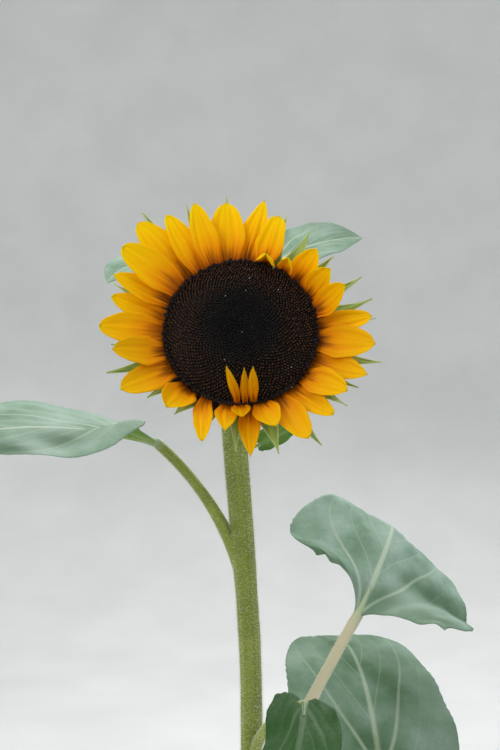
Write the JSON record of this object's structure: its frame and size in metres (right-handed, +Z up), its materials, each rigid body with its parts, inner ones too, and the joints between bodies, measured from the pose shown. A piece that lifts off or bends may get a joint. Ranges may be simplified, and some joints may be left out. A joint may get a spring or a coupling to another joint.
{
  "type": "sunflower plant",
  "caption": "Sunflower plant in bloom on an upright stem: dark domed disc facing forward, ring of yellow ray florets, green bracts and broad stalked leaves.",
  "frame": {"origin": "centre of the flat cut under the stem, at ground level", "axes": "+Z up along the stem, -Y the side that the bloom faces, +X to the right of the bloom as seen from the front"},
  "size_m": [0.3947, 0.5018, 0.8716],
  "materials": {
    "stem": "hairy, ribbed green skin",
    "stalk": "pale hairy green skin",
    "leaf": "matt, rough blue-green blade",
    "bracts": "matt green",
    "disc": "matt, close-set dark florets",
    "ray": "satin yellow, orange towards the foot"
  },
  "bodies": {
    "root": {"stem": "stem", "neck": "stem", "receptacle": "bracts", "disc": "disc", "ray_01": "ray", "ray_02": "ray", "ray_03": "ray", "ray_04": "ray", "ray_05": "ray", "ray_06": "ray", "ray_07": "ray", "ray_08": "ray", "ray_09": "ray", "ray_10": "ray", "ray_11": "ray", "ray_12": "ray", "ray_13": "ray", "ray_14": "ray", "ray_15": "ray", "ray_16": "ray", "ray_17": "ray", "ray_18": "ray", "ray_19": "ray", "ray_20": "ray", "ray_21": "ray", "ray_22": "ray", "ray_23": "ray", "ray_24": "ray", "ray_25": "ray", "ray_26": "ray", "ray_27": "ray", "ray_28": "ray", "ray_29": "ray", "ray_30": "ray", "ray_31": "ray", "ray_32": "ray", "stalk_lowest": "stalk", "leaf_lowest": "leaf", "stalk_low_left": "stalk", "leaf_low_left": "leaf", "stalk_low_back": "stalk", "leaf_low_back": "leaf", "stalk_middle_front": "stalk", "leaf_middle_front": "leaf", "stalk_middle_left": "stalk", "leaf_middle_left": "leaf", "stalk_broad_right": "stalk", "leaf_broad_right": "leaf", "stalk_high_right": "stalk", "leaf_high_right": "leaf", "stalk_front_right": "stalk", "leaf_front_right": "leaf", "stalk_upper_left": "stalk", "leaf_upper_left": "leaf", "stalk_behind_left": "stalk", "leaf_behind_left": "leaf", "stalk_behind_right": "stalk", "leaf_behind_right": "leaf", "stalk_neck_right": "stalk", "leaf_neck_right": "leaf"}
  },
  "joints": []
}
